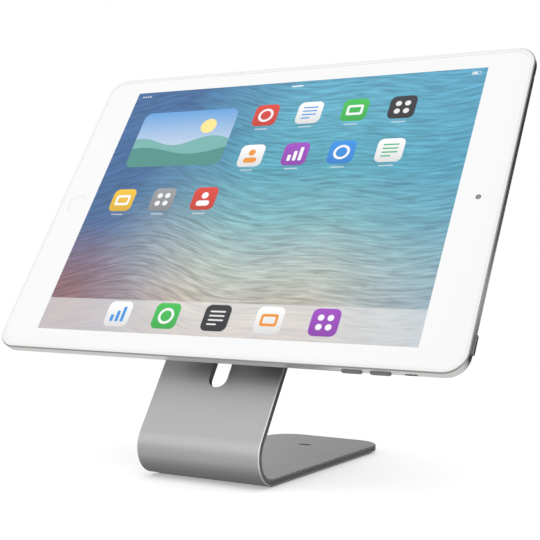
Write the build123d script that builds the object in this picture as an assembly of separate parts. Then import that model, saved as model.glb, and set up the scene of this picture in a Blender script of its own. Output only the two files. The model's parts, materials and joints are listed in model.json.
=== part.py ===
from build123d import *
import math
import os

# A tablet on a security kiosk stand, in millimetres, +Z up and the screen towards -Y.
# The origin is on the table, under the middle of the flat part of the base.
# The stand is one strip of aluminium bent at the front. The tablet leans back as far as the
# upright panel does, and is bonded to a plate that is screwed to the panel from behind.

# Stand: the bent strip
stand_width = 63.0
plate_thickness = 3.0
bend_outer_radius = 13.0
lean_back_angle = 33.0
base_flat_depth = 118.0
panel_height = 146.0
plate_corner_radius = 15.0
plate_edge_chamfer = 0.4

# Stand: the cable slot in the panel and the lock slot in the base
cable_slot_width = 9.2
cable_slot_length = 34.0
cable_slot_foot = 24.0
lock_slot_length = 7.0
lock_slot_width = 3.0
lock_slot_corner_radius = 0.8
lock_slot_from_rear = 29.5

# Stand: the rubber sheet under the base
pad_thickness = 1.0
pad_inset = 2.0
pad_relief_margin = 4.0

# Mount between panel and tablet
tablet_centre_up_panel = 114.0
spacer_width = 48.0
spacer_height = 56.0
spacer_thickness = 6.0
spacer_corner_radius = 6.0
bond_plate_side = 84.0
bond_plate_thickness = 2.5
bond_plate_corner_radius = 10.0
bond_plate_chamfer = 0.5
adhesive_thickness = 0.8
adhesive_inset = 2.0

# Screws of the mount
security_screw_radius = 2.0
security_head_radius = 4.0
security_screw_grip = 2.0
security_spacing = 36.0
security_socket_radius = 1.5
security_socket_depth = 1.4
screw_clearance = 0.05

# Tablet: the casing
tablet_length = 240.0
tablet_height = 169.5
tablet_thickness = 7.5
tablet_corner_radius = 10.0
back_edge_radius = 4.5
rim_chamfer = 0.6
side_wall = 3.2
floor_thickness = 1.0

# Tablet: glass, gasket and display
glass_margin = 2.5
glass_thickness = 0.9
glass_edge_chamfer = 0.15
gasket_width = 0.6
gasket_foot_width = 1.2
gasket_foot_thickness = 0.5
display_end_margin = 18.5
display_side_margin = 7.75
display_thickness = 2.2
tray_thickness = 0.4
tray_lip = 0.8

# Tablet: the press buttons and the slide switch in its edges
button_length = 9.3
button_height = 2.0
button_proud = 0.7
button_edge_chamfer = 0.25
button_clearance = 0.12
button_travel = 0.3
button_depth_from_front = 3.4
button_flange_lip = 0.5
button_flange_thickness = 0.6
switch_from_end = 23.0
volume_up_from_switch = 13.3
volume_button_pitch = 12.8
power_from_bottom = 14.85
switch_slot_length = 5.6
switch_slot_height = 1.8
switch_slot_depth = 0.8
switch_nub_length = 2.6
switch_nub_height = 1.4
switch_nub_proud = 0.4
switch_travel = 1.8
contact_gap = 0.05
dome_radius = 1.1
dome_height = 0.25
tact_side = 2.6
tact_thickness = 0.7
switch_board_thickness = 0.4
switch_board_margin = 3.0
switch_board_top = 1.8

# Tablet: the home button, its switch and the strap that holds it
home_from_end = 11.5
home_radius = 5.2
home_clearance = 0.15
home_sink = 0.1
home_dish_depth = 0.25
home_dish_radius = 4.4
home_dish_slope = 1.2
home_flange_radius = 6.4
home_flange_thickness = 0.5
home_travel = 0.4
home_tact_side = 3.6
home_tact_thickness = 0.45
strap_length = 20.0
strap_width = 7.0
strap_thickness = 0.3
strap_foot = 2.0

# Tablet: the charging port
port_depth_from_front = 4.4
port_opening_length = 8.6
port_opening_height = 2.2
port_wall = 0.2
port_housing_width = 12.0
port_housing_depth = 9.0
port_tongue_length = 6.4
port_tongue_thickness = 0.6
port_tongue_reach = 5.0
port_hole_clearance = 0.2

# Tablet: the speakers and their slots
speaker_length = 34.0
speaker_width = 13.0
speaker_thickness = 3.2
speaker_centre = 37.0
speaker_slot_length = 22.0
speaker_slot_width = 1.6

# Tablet: the headphone socket
jack_radius = 1.75
jack_hole_radius = 1.85
jack_body_length = 12.0
jack_body_width = 6.4
jack_body_height = 5.0
jack_nose_radius = 2.1
jack_bore_depth = 11.0
jack_depth_from_front = 3.8
jack_from_top = 14.75

# Tablet: the cameras and the microphone
front_camera_side = 7.0
front_camera_height = 3.5
front_camera_lens_radius = 1.3
front_camera_lens_depth = 0.4
rear_camera_side = 8.4
rear_camera_height = 4.2
rear_camera_from_end = 12.5
rear_camera_from_bottom = 13.25
rear_camera_hole_radius = 3.9
rear_camera_window_radius = 2.9
rear_camera_window_thickness = 0.5
rear_camera_lens_radius = 2.0
microphone_length = 4.0
microphone_width = 3.0
microphone_height = 1.2
microphone_up = 12.0
module_wall_gap = 1.1

# Tablet: cells, board and aerials
cell_count = 3
cell_gap = 3.0
cell_end_margin = 27.0
cell_bottom_margin = 10.75
cell_board_gap = 4.0
cell_tray_gap = 0.2
board_left_margin = 63.0
board_right_margin = 27.0
board_top_margin = 6.75
board_height = 24.0
board_thickness = 0.8
board_stand_off = 0.6
stand_off_radius = 1.9
can_height = 15.0
can_thickness = 1.2
can_raise = 2.0
connector_length = 14.0
connector_width = 3.4
connector_height = 0.9
flex_width = 12.0
flex_thickness = 0.15
flex_lap = 4.5
antenna_length = 14.0
antenna_width = 8.0
antenna_height = 2.0
antenna_spread = 27.0

# Cutting tools run past the faces they open by the overrun, and lengths match within the tolerance
overrun = 1.0
tolerance = 0.1

# Places on the logic board, as shares of its length and height from its middle
stand_off_shares = [(-0.47, 0.36), (-0.12, -0.38), (0.47, 0.36)]
can_centre_shares = [-0.3, 0.03, 0.32]
can_length_shares = [0.28, 0.26, 0.22]

# Levels and places that follow from the sizes above
lean = math.radians(lean_back_angle)
bend_inner_radius = bend_outer_radius - plate_thickness
bend_y = -base_flat_depth / 2
base_rear_y = base_flat_depth / 2
bend_z = pad_thickness + bend_outer_radius
base_top = pad_thickness + plate_thickness
mount_gap = spacer_thickness + bond_plate_thickness + adhesive_thickness
security_screw_length = plate_thickness + spacer_thickness + security_screw_grip
floor_level = -(tablet_thickness - floor_thickness)
button_level = -button_depth_from_front
port_level = -port_depth_from_front
display_bottom = -(glass_thickness + display_thickness)
tray_bottom = display_bottom - tray_thickness
display_length = tablet_length - 2 * display_end_margin
display_height = tablet_height - 2 * display_side_margin
home_along = -(tablet_length / 2 - home_from_end)
switch_along = tablet_length / 2 - switch_from_end
volume_up_along = switch_along - volume_up_from_switch
volume_down_along = volume_up_along - volume_button_pitch
power_up = power_from_bottom - tablet_height / 2
jack_up = tablet_height / 2 - jack_from_top
flange_depth = side_wall + contact_gap
tact_depth = flange_depth + button_flange_thickness + button_travel + contact_gap
switch_board_depth = tact_depth + dome_height + tact_thickness
home_flange_top = -(glass_thickness + contact_gap)
home_flange_bottom = home_flange_top - home_flange_thickness
home_dome_top = home_flange_bottom - home_travel - contact_gap
strap_top = home_dome_top - dome_height - home_tact_thickness
port_top = port_level + port_opening_height / 2 + port_wall
board_bottom = floor_level + board_stand_off
board_top = board_bottom + board_thickness
board_length = tablet_length - board_left_margin - board_right_margin
board_along = (board_left_margin - board_right_margin) / 2
board_up = tablet_height / 2 - board_top_margin - board_height / 2
cell_foot_up = cell_bottom_margin - tablet_height / 2
cell_head_up = board_up - board_height / 2 - cell_board_gap
cell_width = (tablet_length - 2 * cell_end_margin - (cell_count - 1) * cell_gap) / cell_count
cell_top = tray_bottom - cell_tray_gap
rear_camera_along = tablet_length / 2 - rear_camera_from_end
rear_camera_up = -(tablet_height / 2 - rear_camera_from_bottom)

# The panel's front face, from the end of the bend: X across, Y up the panel, Z to the viewer
panel = Plane(
    origin=(0, bend_y - bend_outer_radius * math.cos(lean), bend_z + bend_outer_radius * math.sin(lean)),
    x_dir=(1, 0, 0),
    z_dir=(0, -math.cos(lean), math.sin(lean)),
).location

# The tablet's own frame: the front of the glass is at zero and the casing lies behind it
mount = panel * Pos(0, tablet_centre_up_panel, 0)
tablet = mount * Pos(0, 0, mount_gap + tablet_thickness)

# Frames on the tablet's edges: X along the edge, Y to the front, Z out of the edge
bottom_edge = Plane((0, -tablet_height / 2, 0), x_dir=(1, 0, 0), z_dir=(0, -1, 0)).location
right_edge = Plane((tablet_length / 2, 0, 0), x_dir=(0, 1, 0), z_dir=(1, 0, 0)).location
left_edge = Plane((-tablet_length / 2, 0, 0), x_dir=(0, -1, 0), z_dir=(-1, 0, 0)).location


# Shapes that several pieces share
def slab(length, height, radius, top, bottom):
    """A rounded rectangle between two levels."""
    return Pos(0, 0, bottom) * extrude(RectangleRounded(length, height, radius), top - bottom)


def block(length, height, top, bottom):
    """A plain rectangle between two levels."""
    return Pos(0, 0, bottom) * extrude(Rectangle(length, height), top - bottom)


def disc(radius, top, bottom):
    """A round piece between two levels."""
    return Pos(0, 0, bottom) * extrude(Circle(radius), top - bottom)


def obround(length, height, top, bottom):
    """A slot shape with round ends between two levels."""
    return Pos(0, 0, bottom) * extrude(SlotOverall(length, height), top - bottom)


def tablet_slab(inset, top, bottom):
    """A slab that follows the tablet's outline at an even distance inside it."""
    length = tablet_length - 2 * inset
    height = tablet_height - 2 * inset
    return slab(length, height, tablet_corner_radius - inset, top, bottom)


def countersunk(shank_radius, head_radius, length):
    """A countersunk screw, or its hole, with its flat head at the origin and its shank below."""
    cone = head_radius - shank_radius
    outline = Polyline(
        (0, 0),
        (head_radius, 0),
        (shank_radius, -cone),
        (shank_radius, -length),
        (0, -length),
        close=True,
    )
    return revolve(Plane.XZ * make_face(outline), Axis.Z)


# Places of the mount's screws, seen in the mount's frame
behind_panel = Pos(0, 0, -plate_thickness)
security_places = [behind_panel * Pos(0, side * security_spacing / 2, 0) * Rot(0, 180, 0) for side in (-1, 1)]


def security_holes():
    """Holes for the two screws that go in from behind the panel and end in the bond plate."""
    hole = countersunk(
        security_screw_radius + screw_clearance,
        security_head_radius + screw_clearance,
        plate_thickness + mount_gap - adhesive_thickness + overrun,
    )
    return [place * hole for place in security_places]


# Stand
def strip_point(radius, along):
    """A point of the strip's side outline, up the panel from the end of the bend."""
    y = bend_y - radius * math.cos(lean) + along * math.sin(lean)
    z = bend_z + radius * math.sin(lean) + along * math.cos(lean)
    return (y, z)


def strip_outline():
    """The side outline of the bent strip: base, bend and leaning panel."""
    sweep = 90 + lean_back_angle
    outer_foot = strip_point(bend_outer_radius, 0)
    inner_foot = strip_point(bend_inner_radius, 0)
    outer_top = strip_point(bend_outer_radius, panel_height)
    inner_top = strip_point(bend_inner_radius, panel_height)
    return make_face([
        Line((base_rear_y, pad_thickness), (bend_y, pad_thickness)),
        CenterArc((bend_y, bend_z), bend_outer_radius, 270, -sweep),
        Line(outer_foot, outer_top),
        Line(outer_top, inner_top),
        Line(inner_top, inner_foot),
        CenterArc((bend_y, bend_z), bend_inner_radius, 180 - lean_back_angle, sweep),
        Line((bend_y, base_top), (base_rear_y, base_top)),
        Line((base_rear_y, base_top), (base_rear_y, pad_thickness)),
    ])


def is_bend_line(edge):
    """True for the smooth lines across the strip where the bend starts and ends."""
    return edge.length > stand_width - plate_corner_radius and abs(edge.center().X) < tolerance


def stand_body():
    """The bent strip with its rounded corners, broken edges, slots and screw holes."""
    strip = extrude(Plane.YZ * strip_outline(), stand_width / 2, both=True)
    corner_edges = strip.edges().filter_by(lambda edge: abs(edge.length - plate_thickness) < tolerance)
    strip = fillet(corner_edges, plate_corner_radius)
    rim = strip.edges().filter_by(
        lambda edge: edge.length > plate_thickness + tolerance and not is_bend_line(edge)
    )
    strip = chamfer(rim, plate_edge_chamfer)
    slot = obround(cable_slot_length, cable_slot_width, overrun, -plate_thickness - overrun)
    strip -= panel * Pos(0, cable_slot_foot + cable_slot_length / 2, 0) * Rot(0, 0, 90) * slot
    strip -= lock_opening(lock_slot_length, lock_slot_width, lock_slot_corner_radius)
    for hole in security_holes():
        strip -= mount * hole
    return strip


def lock_opening(length, width, radius):
    """A rounded slot through base and pad, in line with the lock slot."""
    return Pos(0, base_rear_y - lock_slot_from_rear, 0) * slab(length, width, radius, base_top + overrun, -overrun)


def base_pad():
    """The rubber sheet under the base: square at the bend, rounded at the rear, open at the lock slot."""
    width = stand_width - 2 * pad_inset
    radius = plate_corner_radius - pad_inset
    pad = block(width, base_flat_depth - 2 * pad_inset, pad_thickness, 0)
    rear_corners = pad.edges().filter_by(Axis.Z).group_by(Axis.Y)[-1]
    pad = fillet(rear_corners, radius)
    relief_length = lock_slot_length + 2 * pad_relief_margin
    relief_width = lock_slot_width + 2 * pad_relief_margin
    return pad - lock_opening(relief_length, relief_width, pad_relief_margin)


# Mount
def spacer_block():
    """The block that stands the bond plate off the panel, drilled through for the screws."""
    spacer = slab(spacer_width, spacer_height, spacer_corner_radius, spacer_thickness, 0)
    for hole in security_holes():
        spacer -= hole
    return mount * spacer


def bond_plate():
    """The square plate that the tablet is bonded to, tapped for the screws."""
    top = spacer_thickness + bond_plate_thickness
    plate = slab(bond_plate_side, bond_plate_side, bond_plate_corner_radius, top, spacer_thickness)
    plate = chamfer(plate.faces().sort_by(Axis.Z)[0].edges(), bond_plate_chamfer)
    for hole in security_holes():
        plate -= hole
    return mount * plate


def adhesive_pad():
    """The foam pad between bond plate and tablet."""
    bottom = spacer_thickness + bond_plate_thickness
    side = bond_plate_side - 2 * adhesive_inset
    radius = bond_plate_corner_radius - adhesive_inset
    return mount * slab(side, side, radius, bottom + adhesive_thickness, bottom)


def security_screws():
    """Two countersunk socket screws from behind the panel, flush with it."""
    screw = countersunk(security_screw_radius, security_head_radius, security_screw_length)
    screw -= extrude(RegularPolygon(security_socket_radius, 6), -security_socket_depth)
    return mount * Compound([place * screw for place in security_places])


# Tablet casing
def edge_openings():
    """The cuts in the casing's edges for buttons, switch, port, socket and speakers."""
    through = -(side_wall + overrun)
    opening_length = button_length + 2 * button_clearance
    opening_height = button_height + 2 * button_clearance
    button_cut = obround(opening_length, opening_height, overrun, through)
    cuts = [bottom_edge * Pos(along, button_level, 0) * button_cut for along in (volume_up_along, volume_down_along)]
    cuts.append(right_edge * Pos(power_up, button_level, 0) * button_cut)
    nub_slot = obround(
        switch_nub_length + switch_travel + 2 * button_clearance,
        switch_nub_height + 2 * button_clearance,
        overrun,
        through,
    )
    thumb_recess = obround(switch_slot_length, switch_slot_height, overrun, -switch_slot_depth)
    cuts.append(bottom_edge * Pos(switch_along, button_level, 0) * nub_slot)
    cuts.append(bottom_edge * Pos(switch_along, button_level, 0) * thumb_recess)
    port_length = port_opening_length + 2 * port_hole_clearance
    port_height = port_opening_height + 2 * port_hole_clearance
    cuts.append(left_edge * Pos(0, port_level, 0) * obround(port_length, port_height, overrun, through))
    cuts.append(right_edge * Pos(jack_up, -jack_depth_from_front, 0) * disc(jack_hole_radius, overrun, through))
    speaker_slot = obround(speaker_slot_length, speaker_slot_width, overrun, through)
    for side in (-1, 1):
        cuts.append(left_edge * Pos(side * speaker_centre, port_level, 0) * speaker_slot)
    return cuts


def stand_off_places():
    """The places of the logic board's stand-offs in the tablet's frame."""
    return [
        Pos(board_along + share_x * board_length, board_up + share_y * board_height, 0)
        for share_x, share_y in stand_off_shares
    ]


def rear_shell():
    """The machined casing: a tray with a rolled back edge, a ledge for the glass and stand-offs."""
    shell = tablet_slab(0, 0, -tablet_thickness)
    shell = fillet(shell.faces().sort_by(Axis.Z)[0].edges(), back_edge_radius)
    shell = chamfer(shell.faces().sort_by(Axis.Z)[-1].edges(), rim_chamfer)
    cavity = tablet_slab(side_wall, overrun, floor_level)
    glass_pocket = tablet_slab(glass_margin - gasket_width, overrun, -(glass_thickness + gasket_foot_thickness))
    shell -= cavity
    shell -= glass_pocket
    for cut in edge_openings():
        shell -= cut
    camera_hole = disc(rear_camera_hole_radius, floor_level + overrun, -tablet_thickness - overrun)
    shell -= Pos(rear_camera_along, rear_camera_up, 0) * camera_hole
    stand_off = disc(stand_off_radius, board_bottom, floor_level)
    for place in stand_off_places():
        shell += place * stand_off
    return tablet * shell


def glass_gasket():
    """The thin frame that seals the glass to the casing and carries it on a foot."""
    outer_inset = glass_margin - gasket_width
    bottom = -(glass_thickness + gasket_foot_thickness)
    frame = tablet_slab(outer_inset, 0, bottom)
    frame -= tablet_slab(glass_margin, overrun, -glass_thickness)
    frame -= tablet_slab(outer_inset + gasket_foot_width, overrun, bottom - overrun)
    return tablet * frame


def cover_glass():
    """The front glass, with a broken edge and the round hole for the home button."""
    glass = tablet_slab(glass_margin, 0, -glass_thickness)
    glass = chamfer(glass.faces().sort_by(Axis.Z)[-1].edges(), glass_edge_chamfer)
    glass -= Pos(home_along, 0, 0) * disc(home_radius + home_clearance, overrun, -glass_thickness - overrun)
    return tablet * glass


def display_panel():
    """The display module that is bonded to the back of the glass."""
    return tablet * block(display_length, display_height, -glass_thickness, display_bottom)


def backlight_tray():
    """The pressed sheet behind the display, with a lip turned up round it."""
    length = display_length + 2 * tray_thickness
    height = display_height + 2 * tray_thickness
    tray = block(length, height, display_bottom + tray_lip, tray_bottom)
    tray -= block(display_length, display_height, overrun, display_bottom)
    return tablet * tray


# Tablet: buttons in the edges
def press_button():
    """An edge button with a flange inside the wall that keeps it in, in its edge's frame."""
    cap = obround(button_length, button_height, button_proud, -flange_depth)
    cap = chamfer(cap.faces().sort_by(Axis.Z)[-1].edges(), button_edge_chamfer)
    flange = obround(
        button_length + 2 * button_flange_lip,
        button_height + 2 * button_flange_lip,
        -flange_depth,
        -flange_depth - button_flange_thickness,
    )
    return cap + flange


def volume_up_button():
    return tablet * bottom_edge * Pos(volume_up_along, button_level, 0) * press_button()


def volume_down_button():
    return tablet * bottom_edge * Pos(volume_down_along, button_level, 0) * press_button()


def power_button():
    return tablet * right_edge * Pos(power_up, button_level, 0) * press_button()


def side_switch():
    """The slide switch: a nub in its thumb recess and a slider behind the wall."""
    nub = obround(switch_nub_length, switch_nub_height, -switch_slot_depth + switch_nub_proud, -flange_depth)
    slider = obround(
        switch_nub_length + switch_travel + 2 * button_flange_lip,
        switch_nub_height + 2 * button_flange_lip,
        -flange_depth,
        -flange_depth - button_flange_thickness,
    )
    rest = switch_along + switch_travel / 2
    return tablet * bottom_edge * Pos(rest, button_level, 0) * (nub + slider)


def tact_switch():
    """A dome on a small square switch, in the edge's frame."""
    dome = disc(dome_radius, -tact_depth, -tact_depth - dome_height)
    body = block(tact_side, tact_side, -tact_depth - dome_height, -switch_board_depth)
    return dome + body


def switch_board(first, last):
    """A narrow board that stands on the floor of the casing behind the buttons."""
    low = floor_level
    high = -switch_board_top
    board = block(
        last - first + 2 * switch_board_margin,
        high - low,
        -switch_board_depth,
        -switch_board_depth - switch_board_thickness,
    )
    return Pos((first + last) / 2, (high + low) / 2, 0) * board


def volume_switch_board():
    """The board behind the bottom edge, with a switch for each volume button and the slider's detent."""
    board = switch_board(volume_down_along, switch_along + switch_travel)
    for along in (volume_up_along, volume_down_along):
        board += Pos(along, button_level, 0) * tact_switch()
    detent_front = -flange_depth - button_flange_thickness - contact_gap
    detent = block(tact_side, tact_side, detent_front, -switch_board_depth)
    board += Pos(switch_along + switch_travel / 2, button_level, 0) * detent
    return tablet * bottom_edge * board


def power_switch_board():
    """The board behind the power button."""
    board = switch_board(power_up, power_up)
    board += Pos(power_up, button_level, 0) * tact_switch()
    return tablet * right_edge * board


# Tablet: home button
def home_button():
    """The round cap with its shallow dish, and the flange under the glass."""
    cap = disc(home_radius, -home_sink, home_flange_top)
    dish = Cone(home_dish_radius - home_dish_slope, home_dish_radius, home_dish_depth)
    cap -= Pos(0, 0, -home_sink - home_dish_depth / 2) * dish
    cap += disc(home_flange_radius, home_flange_top, home_flange_bottom)
    return tablet * Pos(home_along, 0, 0) * cap


def home_switch():
    """The dome switch under the home button."""
    dome = disc(dome_radius, home_dome_top, home_dome_top - dome_height)
    body = block(home_tact_side, home_tact_side, home_dome_top - dome_height, strap_top)
    return tablet * Pos(home_along, 0, 0) * (dome + body)


def home_strap():
    """The pressed strap over the port that backs the home switch, with a foot at each end."""
    strap = block(strap_width, strap_length, strap_top, strap_top - strap_thickness)
    leg = block(strap_width, strap_thickness, strap_top, floor_level)
    foot = block(strap_width, strap_foot, floor_level + strap_thickness, floor_level)
    for side in (-1, 1):
        strap += Pos(0, side * (strap_length - strap_thickness) / 2, 0) * leg
        strap += Pos(0, side * (strap_length + strap_foot - strap_thickness) / 2, 0) * foot
    return tablet * Pos(home_along, 0, 0) * strap


# Tablet: port, speakers, socket, cameras and microphone
def charging_port():
    """The port's housing with its open mouth and the contact tongue in it."""
    mouth = -(side_wall - port_wall)
    inner = -(side_wall + module_wall_gap)
    back = inner - port_housing_depth
    housing_height = port_top - floor_level
    housing = Pos(0, (port_top + floor_level) / 2, 0) * block(port_housing_width, housing_height, inner, back)
    nose = obround(port_opening_length + 2 * port_wall, port_opening_height + 2 * port_wall, mouth - port_wall, inner)
    housing += Pos(0, port_level, 0) * nose
    opening = obround(port_opening_length, port_opening_height, overrun, back + port_wall)
    tongue = block(port_tongue_length, port_tongue_thickness, back + port_wall + port_tongue_reach, back)
    housing -= Pos(0, port_level, 0) * opening
    housing += Pos(0, port_level, 0) * tongue
    return tablet * left_edge * housing


def speakers():
    """Two sealed speaker boxes behind the slots in the left edge."""
    along = -(tablet_length / 2 - side_wall - module_wall_gap - speaker_width / 2)
    top = floor_level + speaker_thickness
    box = block(speaker_width, speaker_length, top, floor_level)
    return tablet * Compound([Pos(along, side * speaker_centre, 0) * box for side in (-1, 1)])


def headphone_jack():
    """The socket body with its round nose against the wall."""
    inner = -(side_wall + module_wall_gap)
    body_level = floor_level + jack_body_height / 2 + jack_depth_from_front
    body = Pos(0, body_level, 0) * block(jack_body_width, jack_body_height, inner, inner - jack_body_length)
    body += disc(jack_nose_radius, -(side_wall + contact_gap), inner)
    body -= disc(jack_radius, overrun, -(side_wall + jack_bore_depth))
    return tablet * right_edge * Pos(jack_up, -jack_depth_from_front, 0) * body


def front_camera():
    """The camera module bonded behind the clear spot in the glass."""
    module = block(front_camera_side, front_camera_side, -glass_thickness, -glass_thickness - front_camera_height)
    lens_bottom = -glass_thickness - front_camera_lens_depth
    module -= disc(front_camera_lens_radius, overrun, lens_bottom)
    return tablet * Pos(-home_along, 0, 0) * module


def rear_camera():
    """The camera module over the hole in the back, with its lens barrel in the hole."""
    module = block(rear_camera_side, rear_camera_side, floor_level + rear_camera_height, floor_level)
    module += disc(rear_camera_lens_radius, floor_level, -tablet_thickness + rear_camera_window_thickness)
    return tablet * Pos(rear_camera_along, rear_camera_up, 0) * module


def rear_camera_trim():
    """The polished ring in the hole, flush with the back."""
    ring = disc(rear_camera_hole_radius - screw_clearance, floor_level, -tablet_thickness)
    ring -= disc(rear_camera_window_radius + screw_clearance, floor_level + overrun, -tablet_thickness - overrun)
    return tablet * Pos(rear_camera_along, rear_camera_up, 0) * ring


def rear_camera_window():
    """The clear disc inside the ring."""
    window = disc(rear_camera_window_radius, -tablet_thickness + rear_camera_window_thickness, -tablet_thickness)
    return tablet * Pos(rear_camera_along, rear_camera_up, 0) * window


def microphone():
    """The microphone can on the casing's floor."""
    along = tablet_length / 2 - side_wall - module_wall_gap - microphone_width / 2
    can = block(microphone_width, microphone_length, floor_level + microphone_height, floor_level)
    return tablet * Pos(along, microphone_up, 0) * can


# Tablet: cells, board and aerials
def battery_cells():
    """Flat pouch cells side by side on the casing's floor."""
    cell = block(cell_width, cell_head_up - cell_foot_up, cell_top, floor_level)
    pitch = cell_width + cell_gap
    first = -pitch * (cell_count - 1) / 2
    centre_up = (cell_head_up + cell_foot_up) / 2
    return tablet * Compound([Pos(first + step * pitch, centre_up, 0) * cell for step in range(cell_count)])


def logic_board():
    """The board on its stand-offs, with the socket for the display's ribbon."""
    board = Pos(board_along, board_up, 0) * block(board_length, board_height, board_top, board_bottom)
    socket = block(connector_length, connector_width, board_top + connector_height, board_top)
    board += Pos(board_along, connector_centre_up(), 0) * socket
    return tablet * board


def connector_centre_up():
    """The socket stands along the lower edge of the board."""
    return board_up - board_height / 2 + connector_width


def shield_cans():
    """Pressed cans over the board's chips."""
    cans = []
    for centre_share, length_share in zip(can_centre_shares, can_length_shares):
        can = block(length_share * board_length, can_height, board_top + can_thickness, board_top)
        cans.append(Pos(board_along + centre_share * board_length, board_up + can_raise, 0) * can)
    return tablet * Compound(cans)


def display_flex():
    """The ribbon from the back of the display down to the board's socket."""
    socket_top = board_top + connector_height
    socket_up = connector_centre_up()
    near = socket_up - connector_width / 2
    far = socket_up + connector_width / 2
    start = near - flex_lap
    outline = Polyline(
        (start - flex_lap, tray_bottom),
        (start, tray_bottom),
        (near, socket_top + flex_thickness),
        (far, socket_top + flex_thickness),
        (far, socket_top),
        (near, socket_top),
        (start, tray_bottom - flex_thickness),
        (start - flex_lap, tray_bottom - flex_thickness),
        close=True,
    )
    ribbon = extrude(Plane.YZ * make_face(outline), flex_width / 2, both=True)
    return tablet * Pos(board_along, 0, 0) * ribbon


def antenna_modules():
    """Two aerial modules at the end of the casing beside the front camera."""
    along = tablet_length / 2 - side_wall - module_wall_gap - antenna_width / 2
    module = block(antenna_width, antenna_length, floor_level + antenna_height, floor_level)
    return tablet * Compound([Pos(along, side * antenna_spread, 0) * module for side in (-1, 1)])


pieces = [
    stand_body,
    base_pad,
    spacer_block,
    security_screws,
    bond_plate,
    adhesive_pad,
    rear_shell,
    glass_gasket,
    cover_glass,
    display_panel,
    backlight_tray,
    home_button,
    home_switch,
    home_strap,
    volume_up_button,
    volume_down_button,
    side_switch,
    volume_switch_board,
    power_button,
    power_switch_board,
    charging_port,
    speakers,
    headphone_jack,
    front_camera,
    rear_camera,
    rear_camera_trim,
    rear_camera_window,
    microphone,
    battery_cells,
    logic_board,
    shield_cans,
    display_flex,
    antenna_modules,
]

os.makedirs("parts", exist_ok=True)
for piece in pieces:
    export_step(piece(), f"parts/{piece.__name__}.step")
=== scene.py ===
import json
import math

import bpy
from mathutils import Matrix, Vector


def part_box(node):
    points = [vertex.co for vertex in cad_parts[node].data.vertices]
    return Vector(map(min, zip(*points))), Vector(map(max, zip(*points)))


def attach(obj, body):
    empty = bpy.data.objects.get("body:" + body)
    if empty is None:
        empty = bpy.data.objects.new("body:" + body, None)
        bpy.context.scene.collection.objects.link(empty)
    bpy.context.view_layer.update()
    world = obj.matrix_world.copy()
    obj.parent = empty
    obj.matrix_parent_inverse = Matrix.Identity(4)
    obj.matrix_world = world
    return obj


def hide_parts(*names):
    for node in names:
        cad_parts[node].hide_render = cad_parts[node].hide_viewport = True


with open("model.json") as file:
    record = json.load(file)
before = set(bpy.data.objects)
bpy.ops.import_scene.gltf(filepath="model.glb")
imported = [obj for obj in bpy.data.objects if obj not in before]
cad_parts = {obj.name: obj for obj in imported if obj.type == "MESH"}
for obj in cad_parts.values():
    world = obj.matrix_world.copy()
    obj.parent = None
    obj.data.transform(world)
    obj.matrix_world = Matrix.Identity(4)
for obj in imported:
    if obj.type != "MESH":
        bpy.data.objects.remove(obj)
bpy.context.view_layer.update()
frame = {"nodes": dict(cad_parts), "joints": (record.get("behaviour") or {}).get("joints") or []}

# Bent strip
# One strip of 3 mm aluminium with rounded ends and slots milled for the tablet's cable and for a lock, bent
# round a former and blasted. Its sides, ends and slot walls are coloured darker as painted shade and dark
# reflection, and its rounded edges are coloured lighter as a painted highlight.
mm = 0.001
strip_thickness = 3 * mm
strip_bend_radius = 13 * mm
strip_bend_steps = 56
strip_corner_radius = 15 * mm
strip_corner_steps = 18
strip_edge_round = 0.45 * mm
strip_edge_angle = math.radians(40)
slot_edge_round = 0.12 * mm
slot_edge_angle = math.radians(55)
slot_end_steps = 14
strip_flat_depth = 118 * mm
panel_length = 146 * mm
cable_slot_width = 9.2 * mm
cable_slot_length = 34 * mm
cable_slot_round = 0.499 * cable_slot_width
cable_slot_foot = 24 * mm
lock_slot_length = 7 * mm
lock_slot_width = 3 * mm
lock_slot_round = 0.8 * mm
lock_slot_from_rear = 29.5 * mm
cutter_depth = 4 * strip_thickness
cutter_spare = 2 * mm
screw_spread = 36 * mm
screw_centre_up = 114 * mm
screw_head_radius = 4 * mm
screw_shank_radius = 2 * mm
side_tilt = 0.02
strip_colour = (0.475, 0.475, 0.48, 1)
strip_roughness = 0.44
edge_highlight_colour = (0.86, 0.86, 0.86, 1)
edge_highlight_roughness = 0.3
side_shade_colour = (0.2, 0.2, 0.205, 1)
side_shade_roughness = 0.5
strip_grain = 0.45 * mm
strip_grain_depth = 0.02 * mm
milled_grain_depth = 0.01 * mm
cloud_scale = 22.0
cloud_tone_change = 0.035
cloud_gloss_change = 0.03
speck_tone_change = 0.1
blasted_bump = 0.25

strip_low, strip_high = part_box("stand_body")
strip_width = strip_high.x - strip_low.x
glass_normal = -Vector(next(joint["axis"] for joint in frame["joints"] if joint["name"] == "home_press"))
lean = math.asin(glass_normal.z)
up_panel = Vector((0, math.sin(lean), math.cos(lean)))
bend_axis = Vector((0, strip_low.y + strip_bend_radius, strip_low.z + strip_bend_radius))
panel_foot = bend_axis + glass_normal * strip_bend_radius
panel_place = Matrix.Translation(panel_foot) @ Matrix.Rotation(-lean, 4, "X")
panel_place = panel_place @ Matrix.Rotation(math.radians(90), 4, "X")


def start_piece(name, primitive, **settings):
    """Add a primitive, alone selected, and give it the piece's name."""
    bpy.ops.object.select_all(action="DESELECT")
    primitive(**settings)
    piece = bpy.context.object
    piece.name = name
    piece.data.name = name
    return piece


def select_only(piece):
    """Select one piece alone and make it the active one."""
    bpy.ops.object.select_all(action="DESELECT")
    piece.select_set(True)
    bpy.context.view_layer.objects.active = piece


def shape(piece, mode="FACE"):
    """Open a piece in edit mode with nothing of it selected."""
    select_only(piece)
    bpy.ops.object.mode_set(mode="EDIT")
    bpy.ops.mesh.select_mode(type=mode)
    bpy.ops.mesh.select_all(action="DESELECT")


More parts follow.
